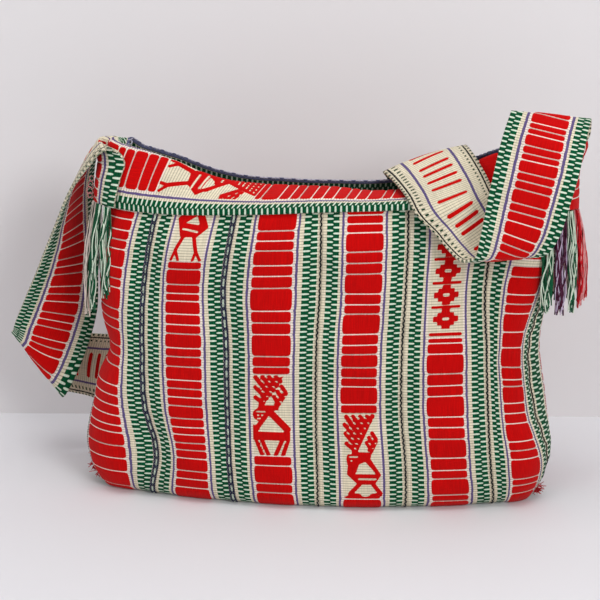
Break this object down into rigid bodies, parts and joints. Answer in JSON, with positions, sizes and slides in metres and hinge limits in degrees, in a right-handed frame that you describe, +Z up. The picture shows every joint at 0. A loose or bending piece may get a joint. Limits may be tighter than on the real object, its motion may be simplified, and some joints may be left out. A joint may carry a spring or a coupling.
{
  "type": "woven shoulder bag",
  "caption": "Filled shoulder bag sewn from striped woven belts, with a belt collar round its rolled mouth and a wide woven strap folded over and behind it.",
  "frame": {"origin": "middle of the bag's base, on the surface it stands on", "axes": "+X to the right along the width of the bag, -Y to its front, +Z up to its mouth"},
  "size_m": [0.5292, 0.1818, 0.3511],
  "materials": {
    "woven_cloth": "warp-faced woven wool and cotton with red bars, cream ground and green checks",
    "stitching_thread": "dark blue sewing yarn over the joints",
    "crochet_edging": "blue and grey crocheted chain",
    "loose_threads": "loose warp threads in green, white, purple and red"
  },
  "bodies": {
    "root": {"belt_1": "woven_cloth", "belt_2": "woven_cloth", "belt_3": "woven_cloth", "belt_4": "woven_cloth", "belt_5": "woven_cloth", "belt_6": "woven_cloth", "joint_1": "stitching_thread", "joint_2": "stitching_thread", "joint_3": "stitching_thread", "joint_4": "stitching_thread", "joint_5": "stitching_thread", "side_joint_left": "stitching_thread", "side_joint_right": "stitching_thread", "collar": "woven_cloth", "mouth_edging": "crochet_edging", "strap": "woven_cloth", "left_tassel_1": "loose_threads", "left_tassel_2": "loose_threads", "left_tassel_3": "loose_threads", "left_tassel_4": "loose_threads", "left_tassel_5": "loose_threads", "right_tassel_1": "loose_threads", "right_tassel_2": "loose_threads", "right_tassel_3": "loose_threads", "right_tassel_4": "loose_threads", "right_tassel_5": "loose_threads", "right_tassel_6": "loose_threads", "right_tassel_7": "loose_threads", "right_tassel_8": "loose_threads"}
  },
  "joints": []
}
